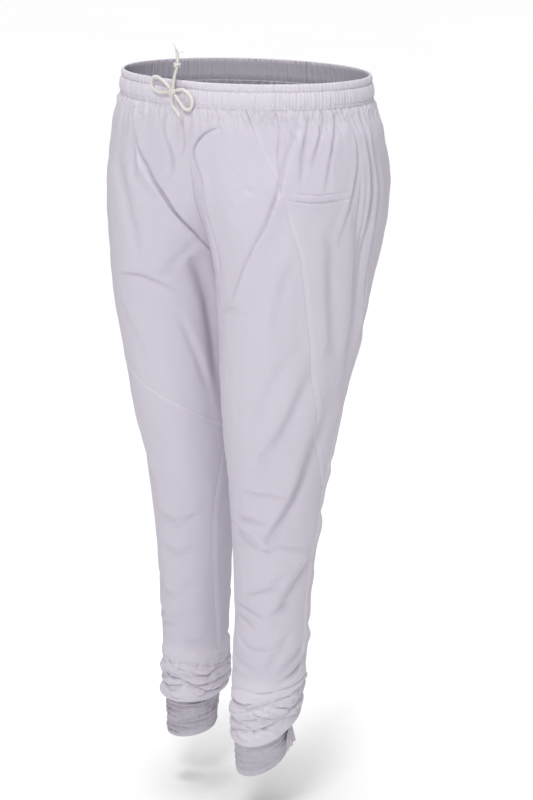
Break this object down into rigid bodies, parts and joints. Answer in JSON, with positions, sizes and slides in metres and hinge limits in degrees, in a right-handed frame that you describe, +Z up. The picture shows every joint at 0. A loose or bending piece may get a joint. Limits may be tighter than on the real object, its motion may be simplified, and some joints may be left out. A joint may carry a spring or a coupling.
{
  "type": "churidar pants",
  "caption": "Cotton trousers with a gathered drawstring waist, legs that narrow to the ankle, stacked folds and close cuffs, in hollow worn form.",
  "frame": {"origin": "middle of the waist, halfway up the waistband, where the wearer holds the garment up", "axes": "+Z up, the front faces -Y, and the wearer's left is at +X"},
  "size_m": [0.4029, 0.3035, 0.9987],
  "materials": {
    "cloth": "white plain-weave cotton",
    "drawstring": "soft off-white cotton cord"
  },
  "bodies": {
    "root": {"waistband": "cloth", "front_left": "cloth", "gore_left": "cloth", "back_left": "cloth", "front_right_upper": "cloth", "front_right_lower": "cloth", "back_right": "cloth", "cuff_left": "cloth", "cuff_right": "cloth", "vent_flap_left": "cloth", "vent_flap_right": "cloth", "drawstring_knot": "drawstring", "drawstring_loop_right": "drawstring", "drawstring_loop_left": "drawstring", "drawstring_end_up": "drawstring", "drawstring_end_down": "drawstring"}
  },
  "joints": []
}
